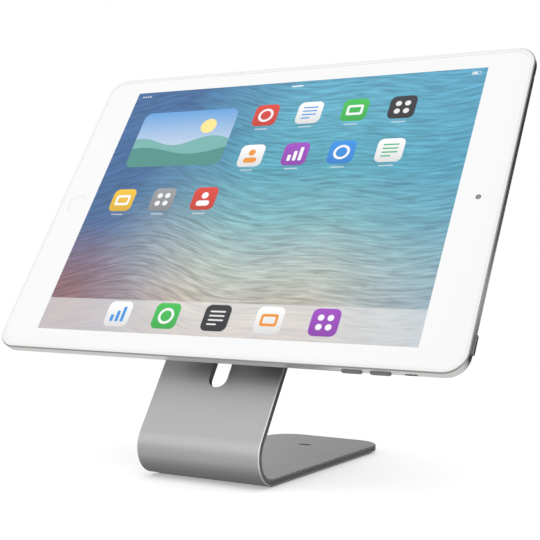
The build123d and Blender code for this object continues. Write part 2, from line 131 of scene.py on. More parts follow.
def pick(piece, kind, wanted):
    """Select the faces or edges whose middle and direction pass the test, in edit mode."""
    bpy.ops.mesh.select_all(action="DESELECT")
    bpy.ops.object.mode_set(mode="OBJECT")
    mesh = piece.data
    if kind == "FACE":
        for face in mesh.polygons:
            face.select = wanted(face.center, face.normal)
    if kind == "EDGE":
        for edge in mesh.edges:
            start, end = (mesh.vertices[index].co for index in edge.vertices)
            edge.select = wanted((start + end) / 2, (end - start).normalized())
    bpy.ops.object.mode_set(mode="EDIT")


def close_shape():
    """Leave edit mode."""
    bpy.ops.object.mode_set(mode="OBJECT")


def settle(piece, place=None):
    """Put a piece at its place and move that place into its mesh."""
    if place is not None:
        piece.matrix_world = place @ piece.matrix_world
    select_only(piece)
    bpy.ops.object.transform_apply(location=True, rotation=True, scale=True)


def add_modifier(piece, kind, **settings):
    """Add a modifier with its settings and apply it."""
    select_only(piece)
    modifier = piece.modifiers.new(kind.title(), kind)
    for key, value in settings.items():
        setattr(modifier, key, value)
    bpy.ops.object.modifier_apply(modifier=modifier.name)


def cut_away(piece, cutter):
    """Cut one piece out of another, leave the cutter's material in the cut and delete the cutter."""
    add_modifier(
        piece, "BOOLEAN", operation="DIFFERENCE", solver="EXACT", object=cutter, material_mode="TRANSFER",
    )
    bpy.data.objects.remove(cutter)


def smooth(piece, angle):
    """Shade a piece smooth, apart from edges sharper than the angle in degrees."""
    select_only(piece)
    bpy.ops.object.shade_smooth_by_angle(angle=math.radians(angle))


def rounded_block(name, size, radius=0.0, segments=1, top=0.0):
    """A block, with its four upright edges rounded by a radius. Its top face is at the given height."""
    piece = start_piece(name, bpy.ops.mesh.primitive_cube_add, size=1)
    shape(piece)
    bpy.ops.mesh.select_all(action="SELECT")
    bpy.ops.transform.resize(value=size)
    bpy.ops.transform.translate(value=(0, 0, top - size[2] / 2))
    if radius:
        bpy.ops.mesh.select_mode(type="EDGE")
        pick(piece, "EDGE", lambda middle, way: abs(way.z) > 0.9)
        bpy.ops.mesh.bevel(offset=radius, segments=segments, affect="EDGES")
    close_shape()
    return piece


def build_strip():
    """Draw out the base from a block, spin its front face round the bend and draw out the panel."""
    base_centre = (0, strip_high.y - strip_flat_depth / 2, strip_low.z + strip_thickness / 2)
    base_size = (strip_width, strip_flat_depth, strip_thickness)
    strip = start_piece("bent_strip", bpy.ops.mesh.primitive_cube_add, size=1, location=base_centre)
    settle(strip)
    shape(strip)
    bpy.ops.mesh.select_all(action="SELECT")
    bpy.ops.transform.resize(value=base_size, center_override=base_centre)
    pick(strip, "FACE", lambda middle, normal: normal.y < -0.9)
    bend_turn = math.radians(90) + lean
    bpy.ops.mesh.spin(steps=strip_bend_steps, angle=bend_turn, center=bend_axis, axis=(1, 0, 0))
    bpy.ops.mesh.extrude_region_move(TRANSFORM_OT_translate={"value": up_panel * panel_length})
    bpy.ops.mesh.select_mode(type="EDGE")
    rear = strip_high.y
    panel_top = bend_axis.z + strip_bend_radius * glass_normal.z + panel_length * up_panel.z
    pick(strip, "EDGE", lambda middle, way: abs(way.x) < 0.1 and abs(middle.x) > 0.4 * strip_width and (
        (abs(way.z) > 0.9 and middle.y > rear - mm)
        or (middle.z > panel_top - strip_thickness and abs(way.dot(up_panel)) < 0.1)))
    bpy.ops.mesh.bevel(offset=strip_corner_radius, segments=strip_corner_steps, affect="EDGES")
    bpy.ops.mesh.select_all(action="SELECT")
    bpy.ops.mesh.normals_make_consistent(inside=False)
    close_shape()
    return strip


def slot_cutter(width, length, radius):
    """A block in the shape of a slot, long in Y, through the level of its frame."""
    size = (width, length, cutter_depth)
    return rounded_block("slot_cutter", size, radius, slot_end_steps, cutter_depth / 2)


def screw_cutter():
    """The countersunk hole of one screw, with the head's face at zero and the shank upwards."""
    sink = screw_head_radius - screw_shank_radius
    cutter = start_piece(
        "screw_cutter", bpy.ops.mesh.primitive_cone_add, vertices=48,
        radius1=screw_head_radius + cutter_spare, radius2=screw_shank_radius, depth=sink + cutter_spare,
        location=(0, 0, (sink - cutter_spare) / 2),
    )
    settle(cutter)
    shape(cutter)
    pick(cutter, "FACE", lambda middle, normal: normal.z > 0.9)
    bpy.ops.mesh.extrude_region_move(TRANSFORM_OT_translate={"value": (0, 0, strip_thickness)})
    close_shape()
    return cutter


def put(tree, kind, inputs=None, **settings):
    """Add a shader node, with sockets or plain values for its inputs."""
    node = tree.nodes.new(kind)
    for key, value in settings.items():
        setattr(node, key, value)
    for key, value in (inputs or {}).items():
        if isinstance(value, bpy.types.NodeSocket):
            tree.links.new(value, node.inputs[key])
        else:
            node.inputs[key].default_value = value
    return node


def calc(tree, operation, *values, clamp=False):
    """Add a math node on numbers or sockets and give back its result."""
    inputs = dict(enumerate(values))
    return put(tree, "ShaderNodeMath", inputs, operation=operation, use_clamp=clamp).outputs[0]


def spread(tree, value, start, end, low=0.0, high=1.0):
    """Turn a value between start and end into one between low and high, held at both ends."""
    inputs = {"Value": value, "From Min": start, "From Max": end, "To Min": low, "To Max": high}
    return put(tree, "ShaderNodeMapRange", inputs).outputs[0]


def scale_colour(tree, colour, share):
    """Make a colour lighter or darker by a share."""
    return put(tree, "ShaderNodeVectorMath", {0: colour, "Scale": share}, operation="SCALE").outputs[0]


def object_place(tree):
    """The place of a point on the piece, in metres."""
    return put(tree, "ShaderNodeTexCoord").outputs["Object"]


def noise(tree, place, scale, detail):
    """A cloudy pattern from 0 to 1."""
    inputs = {"Vector": place, "Scale": scale, "Detail": detail}
    return put(tree, "ShaderNodeTexNoise", inputs).outputs["Fac"]


def finish(name, **settings):
    """A material, its tree and its shader, with plain values set on the shader's own sockets."""
    material = bpy.data.materials.new(name)
    material.use_nodes = True
    shader = material.node_tree.nodes["Principled BSDF"]
    for key, value in settings.items():
        shader.inputs[key.replace("_", " ")].default_value = value
    return material, material.node_tree, shader


def new_group(name, inputs, outputs):
    """A shader node group with named sockets; gives the tree and its two ends."""
    tree = bpy.data.node_groups.new(name, "ShaderNodeTree")
    for socket, kind in inputs.items():
        tree.interface.new_socket(socket, in_out="INPUT", socket_type="NodeSocket" + kind)
    for socket, kind in outputs.items():
        tree.interface.new_socket(socket, in_out="OUTPUT", socket_type="NodeSocket" + kind)
    return tree, tree.nodes.new("NodeGroupInput").outputs, tree.nodes.new("NodeGroupOutput").inputs


def use_group(tree, group, inputs):
    """Place a node group in a material and give back its outputs."""
    return put(tree, "ShaderNodeGroup", inputs, node_tree=group).outputs


def surface_group(name, inputs, outputs):
    """A group for a metal or plastic surface, which always takes a place and a roughness."""
    given = {"Place": "Vector", **inputs, "Depth": "Float", "Roughness": "Float"}
    return new_group(name, given, {**outputs, "Roughness": "Float", "Normal": "Vector"})


def end_surface(tree, given, result, gloss_pattern, gloss_change, relief, strength):
    """Let the gloss sway with one pattern and raise another as a bump, and end the group with both."""
    sway = spread(tree, gloss_pattern, 0.0, 1.0, -gloss_change, gloss_change)
    tree.links.new(calc(tree, "ADD", given["Roughness"], sway, clamp=True), result["Roughness"])
    bump = put(tree, "ShaderNodeBump", {"Height": relief, "Strength": strength, "Distance": given["Depth"]})
    tree.links.new(bump.outputs[0], result["Normal"])


def make_blasted_group():
    """Bead-blasted metal: a fine even grain with slow cloudy changes of tone and gloss."""
    inputs = {"Colour": "Color", "Grain Size": "Float"}
    tree, given, result = surface_group("bead_blasted", inputs, {"Colour": "Color"})
    grain = noise(tree, given["Place"], calc(tree, "DIVIDE", 1.0, given["Grain Size"]), 2.0)
    clouds = noise(tree, given["Place"], cloud_scale, 3.0)
    tone = spread(tree, clouds, 0.0, 1.0, 1 - cloud_tone_change, 1 + cloud_tone_change)
    speck = spread(tree, grain, 0.0, 1.0, 1 - speck_tone_change, 1 + speck_tone_change)
    both = calc(tree, "MULTIPLY", tone, speck)
    tree.links.new(scale_colour(tree, given["Colour"], both), result["Colour"])
    end_surface(tree, given, result, clouds, cloud_gloss_change, grain, blasted_bump)
    return tree


bead_blasted = make_blasted_group()


def feed(tree, shader, surface):
    """Link a surface group's roughness and normal to the shader."""
    for socket in ("Roughness", "Normal"):
        tree.links.new(surface[socket], shader.inputs[socket])


def blasted_metal(name, colour, roughness, grain_size, depth):
    """A bead-blasted, anodised aluminium."""
    material, tree, shader = finish(name, Metallic=1.0)
    surface = use_group(tree, bead_blasted, {
        "Place": object_place(tree), "Colour": colour, "Roughness": roughness, "Grain Size": grain_size,
        "Depth": depth,
    })
    tree.links.new(surface["Colour"], shader.inputs["Base Color"])
    feed(tree, shader, surface)
    return material


def dress(piece, *materials):
    """Give a piece its materials: its own first, then those of its edges and cuts."""
    piece.data.materials.clear()
    for material in materials:
        piece.data.materials.append(material)


strip_finish = blasted_metal(
    "strip_aluminium", strip_colour, strip_roughness, strip_grain, strip_grain_depth,
)
# Painted highlight: the rounded edges are real, and their much lighter colour stands for the bright line
# that light draws along them.
edge_highlight_finish = blasted_metal(
    "strip_painted_edge_highlight", edge_highlight_colour, edge_highlight_roughness, strip_grain, milled_grain_depth,
)
# Painted shade: a darker colour for the strip's sides, ends and slot walls, standing for shade in the slots
# and dark reflections on the sides.
side_shade_finish = blasted_metal(
    "strip_painted_shade", side_shade_colour, side_shade_roughness, strip_grain, milled_grain_depth,
)
strip = build_strip()
dress(strip, strip_finish, edge_highlight_finish, side_shade_finish)
# The sides and ends take the painted shade colour.
for face in strip.data.polygons:
    at_end = face.center.y > strip_high.y - mm or face.center.z > strip_high.z - strip_thickness
    if abs(face.normal.x) > side_tilt or at_end:
        face.material_index = 2
add_modifier(
    strip, "BEVEL", width=strip_edge_round, segments=3, limit_method="ANGLE", angle_limit=strip_edge_angle,
    material=1,
)
cable_cutter = slot_cutter(cable_slot_width, cable_slot_length, cable_slot_round)
settle(cable_cutter, panel_place @ Matrix.Translation((0, cable_slot_foot + cable_slot_length / 2, 0)))
lock_cutter = slot_cutter(lock_slot_length, lock_slot_width, lock_slot_round)
settle(lock_cutter, Matrix.Translation((0, strip_high.y - lock_slot_from_rear, strip_low.z)))
# The slot walls take the painted shade colour as well.
for cutter in (cable_cutter, lock_cutter):
    dress(cutter, side_shade_finish)
    cut_away(strip, cutter)
screw_places = []
for level in (-1, 1):
    up = screw_centre_up + level * screw_spread / 2
    screw_places.append(panel_place @ Matrix.Translation((0, up, -strip_thickness)))
for place in screw_places:
    cutter = screw_cutter()
    settle(cutter, place)
    cut_away(strip, cutter)
add_modifier(
    strip, "BEVEL", width=slot_edge_round, segments=2, limit_method="ANGLE", angle_limit=slot_edge_angle,
    use_clamp_overlap=True,
)
smooth(strip, angle=40)
add_modifier(strip, "WEIGHTED_NORMAL", keep_sharp=True)
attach(strip, "root")
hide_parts("stand_body")

# Rubber pad under the base
# A 1 mm sheet of black rubber, die-cut and stuck under the base, with a cut-out round the lock slot.
pad_colour = (0.035, 0.035, 0.037, 1)
haze_scale = 60.0
haze_gloss_change = 0.08
moulded_bump = 0.3


def make_moulded_group():
    """Moulded rubber or plastic: a soft grain with slight changes of gloss."""
    tree, given, result = surface_group("moulded_grain", {"Grain Size": "Float"}, {})
    scale = calc(tree, "DIVIDE", 1.0, given["Grain Size"])
    grain = put(tree, "ShaderNodeTexVoronoi", {"Vector": given["Place"], "Scale": scale}).outputs["Distance"]
    haze = noise(tree, given["Place"], haze_scale, 4.0)
    end_surface(tree, given, result, haze, haze_gloss_change, grain, moulded_bump)
    return tree


moulded_grain = make_moulded_group()


def moulded(name, colour, roughness, grain_size, depth, **settings):
    """A moulded rubber or plastic of one colour."""
    material, tree, shader = finish(name, Base_Color=colour, **settings)
    feed(tree, shader, use_group(tree, moulded_grain, {
        "Place": object_place(tree), "Grain Size": grain_size, "Depth": depth, "Roughness": roughness,
    }))
    return material


nodes = frame["nodes"]
pad_finish = moulded("pad_rubber", pad_colour, roughness=0.75, grain_size=0.5 * mm, depth=0.05 * mm)
dress(nodes["base_pad"], pad_finish)

# Mount between panel and tablet
# A milled spacer block and a square bond plate, both aluminium, with a black foam pad that holds the tablet.
# Two screws go in from behind the panel, through the spacer and into the plate.
mount_colour = (0.55, 0.55, 0.56, 1)
foam_colour = (0.03, 0.03, 0.032, 1)
screw_colour = (0.62, 0.62, 0.63, 1)
pin_radius = 0.45 * mm
pin_length = 1.0 * mm
pin_edge_round = 0.12 * mm
socket_depth = 1.4 * mm
line_stretch = (0.03, 1, 1)
line_gloss_change = 0.07
machined_bump = 0.3


def make_brushed_group():
    """Machined or brushed metal: fine lines along the piece's X."""
    tree, given, result = surface_group("machined_lines", {"Line Size": "Float"}, {})
    stretch = put(tree, "ShaderNodeMapping", {"Vector": given["Place"], "Scale": line_stretch})
    lines = noise(tree, stretch.outputs[0], calc(tree, "DIVIDE", 1.0, given["Line Size"]), 2.0)
    end_surface(tree, given, result, lines, line_gloss_change, lines, machined_bump)
    return tree


machined_lines = make_brushed_group()


def machined(name, colour, roughness, line_size=0.2 * mm, depth=0.01 * mm):
    """A machined or rolled metal."""
    material, tree, shader = finish(name, Base_Color=colour, Metallic=1.0)
    feed(tree, shader, use_group(tree, machined_lines, {
        "Place": object_place(tree), "Line Size": line_size, "Depth": depth, "Roughness": roughness,
    }))
    return material


mount_finish = machined("mount_aluminium", mount_colour, roughness=0.38)
foam_finish = moulded("pad_foam", foam_colour, roughness=0.9, grain_size=0.25 * mm, depth=0.08 * mm)
screw_finish = machined("screw_steel", screw_colour, roughness=0.24, line_size=0.12 * mm, depth=0.006 * mm)
dress(nodes["spacer_block"], mount_finish)
dress(nodes["bond_plate"], mount_finish)
dress(nodes["adhesive_pad"], foam_finish)
dress(nodes["security_screws"], screw_finish)


def build_pins():
    """The security pins that stand in the middle of the two screw sockets."""
    pins = []
    for place in screw_places:
        pin = start_piece(
            "socket_pins", bpy.ops.mesh.primitive_cylinder_add, vertices=20, radius=pin_radius,
            depth=pin_length, location=(0, 0, socket_depth - pin_length / 2),
        )
        settle(pin, place)
        pins.append(pin)
    for pin in pins:
        pin.select_set(True)
    bpy.ops.object.join()
    joined = bpy.context.object
    add_modifier(joined, "BEVEL", width=pin_edge_round, segments=2, limit_method="ANGLE")
    smooth(joined, angle=35)
    return joined


socket_pins = build_pins()
socket_pins.name = "socket_pins"
dress(socket_pins, screw_finish)
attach(socket_pins, "root")

# Tablet casing
# Machined from one aluminium plate with a rolled back edge, then bead-blasted and clear anodised. It has the
# openings for the buttons, port, speakers and socket, and its rim stands round the glass.
casing_colour = (0.78, 0.765, 0.75, 1)
casing_roughness = 0.29
casing_grain = 0.3 * mm
casing_grain_depth = 0.015 * mm
rim_colour = (0.88, 0.88, 0.875, 1)
rim_roughness = 0.18
rim_cut_depth = 0.12 * mm
rim_chamfer = 0.6 * mm
chamfer_fade = 0.05 * mm
chamfer_dark_reflection_colour = (0.36, 0.355, 0.35, 1)
merge_gap = 0.001 * mm
glass_thickness = 0.9 * mm
glass_low, glass_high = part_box("cover_glass")
glass_middle = (glass_low + glass_high) / 2


def smooth_copy(node, name):
    """A merged copy of a CAD node with its curved faces shaded smooth, which stands for the node."""
    mesh = nodes[node].data.copy()
    mesh.name = name
    piece = bpy.data.objects.new(name, mesh)
    bpy.context.scene.collection.objects.link(piece)
    select_only(piece)
    bpy.ops.mesh.customdata_custom_splitnormals_clear()
    shape(piece, "VERT")
    bpy.ops.mesh.select_all(action="SELECT")
    bpy.ops.mesh.remove_doubles(threshold=merge_gap)
    close_shape()
    smooth(piece, angle=30)
    add_modifier(piece, "WEIGHTED_NORMAL", keep_sharp=True)
    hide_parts(node)
    return piece


def blend_colour(tree, factor, first, second):
    """Mix two colours by a factor."""
    inputs = {"Factor": factor, 6: first, 7: second}
    return put(tree, "ShaderNodeMix", inputs, data_type="RGBA").outputs[2]


def measure(tree, operation, *vectors):
    """The length of a vector, or the distance or dot product of two."""
    return put(tree, "ShaderNodeVectorMath", dict(enumerate(vectors)), operation=operation).outputs["Value"]


def make_casing_finish():
    """Blasted aluminium with a bright-cut rim and a smoother chamfer round the glass, coloured darker as a
    painted dark reflection.
    """
    material = blasted_metal(
        "casing_aluminium", casing_colour, casing_roughness, casing_grain, casing_grain_depth,
    )
    tree = material.node_tree
    shader = tree.nodes["Principled BSDF"]
    blasted = tree.nodes["Group"].outputs
    height = measure(tree, "DOT_PRODUCT", object_place(tree), glass_normal)
    rim_front = glass_middle.dot(glass_normal) + glass_thickness / 2
    chamfer_foot = rim_front - rim_chamfer
    cut = spread(tree, height, rim_front - rim_cut_depth, rim_front - rim_cut_depth / 2)
    slope = spread(tree, height, chamfer_foot - chamfer_fade, chamfer_foot + chamfer_fade)
    # Painted dark reflection: the chamfer is coloured darker than the rest of the casing.
    colour = blend_colour(tree, slope, blasted["Colour"], chamfer_dark_reflection_colour)
    tree.links.new(blend_colour(tree, cut, colour, rim_colour), shader.inputs["Base Color"])
    polish = calc(tree, "MULTIPLY", slope, casing_roughness - rim_roughness)
    tree.links.new(calc(tree, "SUBTRACT", blasted["Roughness"], polish), shader.inputs["Roughness"])
    return material


casing = smooth_copy("rear_shell", "casing")
dress(casing, make_casing_finish())
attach(casing, "root")

# Gasket and front glass
# A moulded frame carries the glass on a foot inside the rim. The glass is one flat sheet, printed white from
# behind round the display, with a round hole for the home button and a small clear spot for the camera.
glass_corner = 7.5 * mm
glass_corner_steps = 14
glass_edge_round = 0.15 * mm
window_length = 197.1 * mm
window_height = 147.8 * mm
home_hole_radius = 5.35 * mm
camera_hole_radius = 1.25 * mm
hole_steps = 72
closeness = 0.01 * mm
surround_colour = (0.93, 0.93, 0.93, 1)
surround_roughness = 0.12
smear_size = 9 * mm
gasket_colour = (0.93, 0.93, 0.93, 1)
glass_place = Matrix.Translation(glass_middle + glass_normal * glass_thickness / 2)
glass_place = glass_place @ Matrix.Rotation(math.radians(90) - lean, 4, "X")
glass_length = glass_high.x - glass_low.x
glass_height = (glass_high.z - glass_low.z - glass_thickness * glass_normal.z) / up_panel.z
home_low, home_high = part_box("home_button")
home_along = (home_low.x + home_high.x) / 2


def round_cutter(radius, along):
    """A round cutter through the glass at a place along its middle line."""
    cutter = start_piece(
        "round_cutter", bpy.ops.mesh.primitive_cylinder_add, vertices=hole_steps, radius=radius,
        depth=8 * glass_thickness, location=(along, 0, 0),
    )
    settle(cutter)
    return cutter


def on_front_outline(middle, way):
    """Whether an edge is on the front outline of the glass, and not at one of its round holes."""
    in_front = abs(way.z) < 0.1 and middle.z > -closeness
    outside = abs(middle.x) > glass_length / 2 - glass_corner or abs(middle.y) > glass_height / 2 - closeness
    hole_gaps = [(middle.xy - Vector((side * home_along, 0))).length for side in (-1, 1)]
    return in_front and outside and min(hole_gaps) >= 2 * home_hole_radius


def build_surround():
    """Cut the window and the two holes out of a sheet with round corners, and round its front outline."""
    size = (glass_length, glass_height, glass_thickness)
    sheet = rounded_block("glass_surround", size, glass_corner, glass_corner_steps)
    window = (window_length, window_height, 4 * glass_thickness)
    cut_away(sheet, rounded_block("window_cutter", window, top=2 * glass_thickness))
    cut_away(sheet, round_cutter(home_hole_radius, home_along))
    cut_away(sheet, round_cutter(camera_hole_radius, -home_along))
    shape(sheet, "EDGE")
    pick(sheet, "EDGE", on_front_outline)
    bpy.ops.mesh.bevel(offset=glass_edge_round, segments=2, affect="EDGES")
    close_shape()
    settle(sheet, glass_place)
    smooth(sheet, angle=25)
    return sheet


def add_smears(tree, shader, roughness):
    """Slight smears in the gloss of the glass."""
    surface = use_group(tree, moulded_grain, {
        "Place": object_place(tree), "Grain Size": smear_size, "Depth": 0.0, "Roughness": roughness,
    })
    tree.links.new(surface["Roughness"], shader.inputs["Roughness"])


def make_surround_finish():
    """Glass printed white from behind: an even white under a smooth gloss."""
    material, tree, shader = finish("surround_glass", Base_Color=surround_colour, IOR=1.5)
    add_smears(tree, shader, surround_roughness)
    return material


surround = build_surround()
dress(surround, make_surround_finish())
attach(surround, "root")
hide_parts("cover_glass")
gasket_finish = moulded("gasket_plastic", gasket_colour, roughness=0.5, grain_size=0.4 * mm, depth=0.02 * mm)
dress(nodes["glass_gasket"], gasket_finish)

# Display
# The display module shows through the window of the glass, edge to edge. It is lit from behind and shows a
# start screen: a picture of soft folds, a panel with a sun over hills, rows of plain tiles and a dock.
display_thickness = 2.2 * mm
screen_glow = 1.0
screen_dark = (0.01, 0.01, 0.012, 1)
screen_roughness = 0.1
half_length = window_length / mm / 2
half_height = window_height / mm / 2
mask_fade = 0.12
fold_waves = ((34, 9, 0.6), (15, 3, 2.1), (71, 12, 4.0))
fold_low = -88.0
fold_high = 84.0
fold_colours = [
    (0.0, (0.36, 0.27, 0.24)), (0.13, (0.52, 0.45, 0.39)), (0.28, (0.44, 0.51, 0.47)),
    (0.44, (0.20, 0.43, 0.48)), (0.62, (0.09, 0.37, 0.48)), (0.84, (0.11, 0.40, 0.54)),
    (1.0, (0.10, 0.36, 0.54)),
]
right_tint = (0.08, 0.32, 0.50, 1)
left_tint = (0.03, 0.09, 0.28, 1)
warm_tint = (0.30, 0.13, 0.11, 1)
warm_corner = (96.0, 58.0)
ripple_turn = math.radians(24)
ripple_stretch = (0.02, 0.22, 1)
tile_side = 13.6
tile_round = 3.1
tile_pitch = (24.5, 25.5)
dock_height = 17.5
dock_pitch = (27, 17)
dock_colour = (0.86, 0.86, 0.86, 1)
status_colour = (0.9, 0.92, 0.95, 1)
label_colour = (0.9, 0.9, 0.9, 1)
sky_colours = [(0.0, (0.75, 0.80, 0.85)), (1.0, (0.12, 0.36, 0.72))]
sun_colour = (0.98, 0.80, 0.28, 1)
hills = ((-0.05, 7.0, 1.0, (0.18, 0.45, 0.42, 1)), (-0.22, 10.0, 3.4, (0.07, 0.28, 0.24, 1)))
tile_colours = [
    ((0.68, 0.05, 0.03), (0.93, 0.94, 0.95)), ((0.90, 0.90, 0.90), (0.05, 0.30, 0.75)),
    ((0.05, 0.50, 0.08), (0.93, 0.94, 0.95)), ((0.03, 0.03, 0.035), (0.85, 0.85, 0.85)),
    ((0.90, 0.90, 0.90), (0.85, 0.30, 0.03)), ((0.33, 0.06, 0.50), (0.93, 0.94, 0.95)),
    ((0.03, 0.27, 0.75), (0.93, 0.94, 0.95)), ((0.90, 0.90, 0.90), (0.05, 0.45, 0.20)),
    ((0.86, 0.52, 0.03), (0.93, 0.94, 0.95)), ((0.30, 0.31, 0.33), (0.90, 0.90, 0.90)),
]


def ramp(tree, factor, stops, interpolation="LINEAR"):
    """A colour ramp with its stops as (place, colour)."""
    node = put(tree, "ShaderNodeValToRGB", {"Fac": factor})
    node.color_ramp.interpolation = interpolation
    points = node.color_ramp.elements
    while len(points) < len(stops):
        points.new(1)
    for point, (place, colour) in zip(points, stops):
        point.position = place
        point.color = (*colour[:3], 1)
    return node.outputs["Color"]


def mask_group(name, sizes):
    """A group that turns a place and some sizes in millimetres into a mask."""
    return new_group(name, {size: "Float" for size in ("X", "Y", *sizes)}, {"Mask": "Float"})


def make_box_group():
    """A mask that is 1 inside a box with rounded corners and 0 outside."""
    tree, given, result = mask_group("rounded_box", ("Half Width", "Half Height", "Round"))
    reach = []
    for axis, half in (("X", "Half Width"), ("Y", "Half Height")):
        core = calc(tree, "SUBTRACT", given[half], given["Round"])
        reach.append(calc(tree, "SUBTRACT", calc(tree, "ABSOLUTE", given[axis]), core))
    outside = [calc(tree, "MAXIMUM", value, 0.0) for value in reach]
    squares = [calc(tree, "MULTIPLY", value, value) for value in outside]
    corner = calc(tree, "SQRT", calc(tree, "ADD", *squares))
    inside = calc(tree, "MINIMUM", calc(tree, "MAXIMUM", *reach), 0.0)
    distance = calc(tree, "SUBTRACT", calc(tree, "ADD", corner, inside), given["Round"])
    tree.links.new(spread(tree, distance, mask_fade, -mask_fade), result["Mask"])
    return tree


def make_ring_group():
    """A mask for a ring, or a disc where the ring is as wide as its radius."""
    tree, given, result = mask_group("ring", ("Radius", "Width"))
    squares = [calc(tree, "MULTIPLY", given[axis], given[axis]) for axis in ("X", "Y")]
    radius = calc(tree, "SQRT", calc(tree, "ADD", *squares))
    half = calc(tree, "MULTIPLY", given["Width"], 0.5)
    middle = calc(tree, "SUBTRACT", given["Radius"], half)
    distance = calc(tree, "SUBTRACT", calc(tree, "ABSOLUTE", calc(tree, "SUBTRACT", radius, middle)), half)
    tree.links.new(spread(tree, distance, mask_fade, -mask_fade), result["Mask"])
    return tree


rounded_box = make_box_group()
ring = make_ring_group()


def box_mask(tree, x, y, width, height, corner, centre=(0, 0)):
    """The mask of a rounded box with its middle at a place."""
    return use_group(tree, rounded_box, {
        "X": calc(tree, "SUBTRACT", x, centre[0]), "Y": calc(tree, "SUBTRACT", y, centre[1]),
        "Half Width": width / 2, "Half Height": height / 2, "Round": corner,
    })["Mask"]


def ring_mask(tree, x, y, radius, width, centre=(0, 0)):
    """The mask of a ring or disc with its middle at a place."""
    return use_group(tree, ring, {
        "X": calc(tree, "SUBTRACT", x, centre[0]), "Y": calc(tree, "SUBTRACT", y, centre[1]),
        "Radius": radius, "Width": width,
    })["Mask"]


def screen_axes(tree):
    """How far a point is across and up the screen from its middle, in millimetres."""
    inputs = {0: object_place(tree), 1: glass_middle}
    offset = put(tree, "ShaderNodeVectorMath", inputs, operation="SUBTRACT").outputs[0]
    return [measure(tree, "DOT_PRODUCT", offset, way / mm) for way in (Vector((1, 0, 0)), up_panel)]


def wave(tree, along, length, height, shift):
    """A sine wave along an axis."""
    turn = calc(tree, "ADD", calc(tree, "DIVIDE", along, length), shift)
    return calc(tree, "MULTIPLY", calc(tree, "SINE", turn), height)


def paint_folds(tree, x, y):
    """The picture: soft folds from sand up to teal, darker blue to the left and warm in the corner there."""
    level = calc(tree, "ADD", y, calc(tree, "MULTIPLY", x, 0.1))
    for length, height, shift in fold_waves:
        level = calc(tree, "ADD", level, wave(tree, x, length, height, shift))
    colour = ramp(tree, spread(tree, level, fold_low, fold_high), fold_colours)
    colour = blend_colour(tree, spread(tree, x, start=45.0, end=110.0, high=0.6), colour, right_tint)
    slant = calc(tree, "SUBTRACT", calc(tree, "MULTIPLY", y, 0.35), calc(tree, "MULTIPLY", x, 1.3))
    colour = blend_colour(tree, spread(tree, slant, start=12.0, end=105.0, high=0.87), colour, left_tint)
    corner_x = calc(tree, "ADD", x, warm_corner[0])
    corner_y = calc(tree, "ADD", y, warm_corner[1])
    corner = put(tree, "ShaderNodeCombineXYZ", {"X": corner_x, "Y": corner_y})
    reach = measure(tree, "LENGTH", corner.outputs[0])
    warm = spread(tree, reach, start=12.0, end=48.0, low=0.75, high=0.0)
    colour = blend_colour(tree, warm, colour, warm_tint)
    spot = put(tree, "ShaderNodeCombineXYZ", {"X": x, "Y": level})
    turned = put(tree, "ShaderNodeMapping", {
        "Vector": spot.outputs[0], "Rotation": (0, 0, ripple_turn), "Scale": ripple_stretch,
    })
    ripple = put(tree, "ShaderNodeTexNoise", {
        "Vector": turned.outputs[0], "Scale": 3.2, "Detail": 6.0, "Distortion": 0.6,
    })
    shade = spread(tree, ripple.outputs["Fac"], start=0.3, end=0.7, low=0.68, high=1.32)
    return scale_colour(tree, colour, shade)


def lines_mask(tree, x, y):
    """Four short lines, as on a list."""
    mask = 0.0
    for up, width in ((3.3, 8.0), (1.1, 8.0), (-1.1, 8.0), (-3.3, 5.0)):
        mask = calc(tree, "ADD", mask, box_mask(tree, x, y, width, 0.8, 0.4, (width / 2 - 4.0, up)))
    return mask


def bars_mask(tree, x, y):
    """Three upright bars of rising height."""
    mask = 0.0
    for step, height in ((-3.0, 3.6), (0.0, 5.8), (3.0, 8.0)):
        mask = calc(tree, "ADD", mask, box_mask(tree, x, y, 1.8, height, 0.5, (step, height / 2 - 4.0)))
    return mask


def dots_mask(tree, x, y):
    """Four dots in a square."""
    far = calc(tree, "SUBTRACT", calc(tree, "ABSOLUTE", x), 2.3)
    high = calc(tree, "SUBTRACT", calc(tree, "ABSOLUTE", y), 2.3)
    return ring_mask(tree, far, high, 1.5, 1.5)


def figure_mask(tree, x, y):
    """A dot over a short bar."""
    head = ring_mask(tree, x, y, 1.9, 1.9, (0, 1.9))
    return calc(tree, "MAXIMUM", head, box_mask(tree, x, y, 7.4, 3.2, 1.5, (0, -2.7)))


def frame_mask(tree, x, y):
    """An open box."""
    hole = box_mask(tree, x, y, 6.0, 3.4, 0.6)
    return calc(tree, "SUBTRACT", box_mask(tree, x, y, 8.6, 6.2, 1.2), hole, clamp=True)


